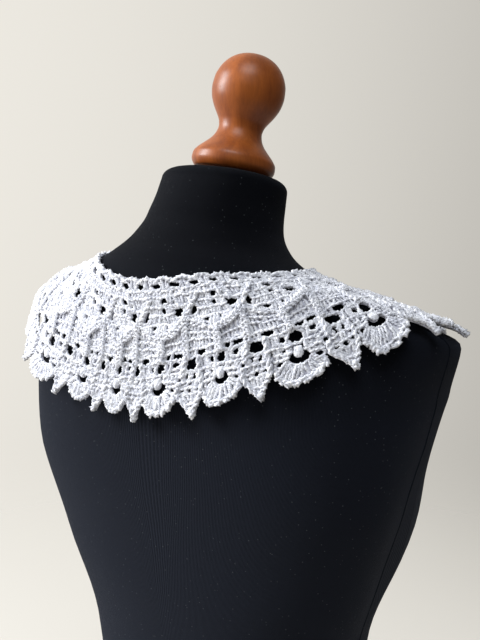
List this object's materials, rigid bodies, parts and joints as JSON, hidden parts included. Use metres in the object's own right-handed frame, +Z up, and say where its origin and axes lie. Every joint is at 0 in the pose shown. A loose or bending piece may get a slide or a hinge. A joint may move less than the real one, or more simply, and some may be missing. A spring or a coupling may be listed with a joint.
{
  "type": "crochet lace collar on dress form",
  "caption": "White crochet lace collar with scalloped and pointed hem, worn on a limbless black jersey dress form with a turned wooden neck knob.",
  "frame": {"origin": "middle of the bounding box's bottom, on the form's flat underside", "axes": "+Z up, the form faces -Y, +X is the wearer's left"},
  "size_m": [0.3568, 0.2538, 0.816],
  "materials": {
    "white_cotton_lace": "matt white mercerised cotton crochet",
    "black_jersey": "fine ribbed black jersey with a little lint",
    "stained_wood": "satin varnish on reddish-brown stained wood"
  },
  "bodies": {
    "root": {"form_torso": "black_jersey", "neck_knob": "stained_wood", "collar_neckband": "white_cotton_lace", "collar_upper_tier": "white_cotton_lace", "collar_lower_tier": "white_cotton_lace", "fan_00": "white_cotton_lace", "fan_01": "white_cotton_lace", "fan_02": "white_cotton_lace", "fan_03": "white_cotton_lace", "fan_04": "white_cotton_lace", "fan_05": "white_cotton_lace", "fan_06": "white_cotton_lace", "fan_07": "white_cotton_lace", "fan_08": "white_cotton_lace", "fan_09": "white_cotton_lace", "fan_10": "white_cotton_lace", "fan_11": "white_cotton_lace", "fan_12": "white_cotton_lace", "fan_13": "white_cotton_lace", "fan_14": "white_cotton_lace", "leaf_00": "white_cotton_lace", "leaf_01": "white_cotton_lace", "leaf_02": "white_cotton_lace", "leaf_03": "white_cotton_lace", "leaf_04": "white_cotton_lace", "leaf_05": "white_cotton_lace", "leaf_06": "white_cotton_lace", "leaf_07": "white_cotton_lace", "leaf_08": "white_cotton_lace", "leaf_09": "white_cotton_lace", "leaf_10": "white_cotton_lace", "leaf_11": "white_cotton_lace", "leaf_12": "white_cotton_lace", "leaf_13": "white_cotton_lace", "leaf_14": "white_cotton_lace"}
  },
  "joints": []
}
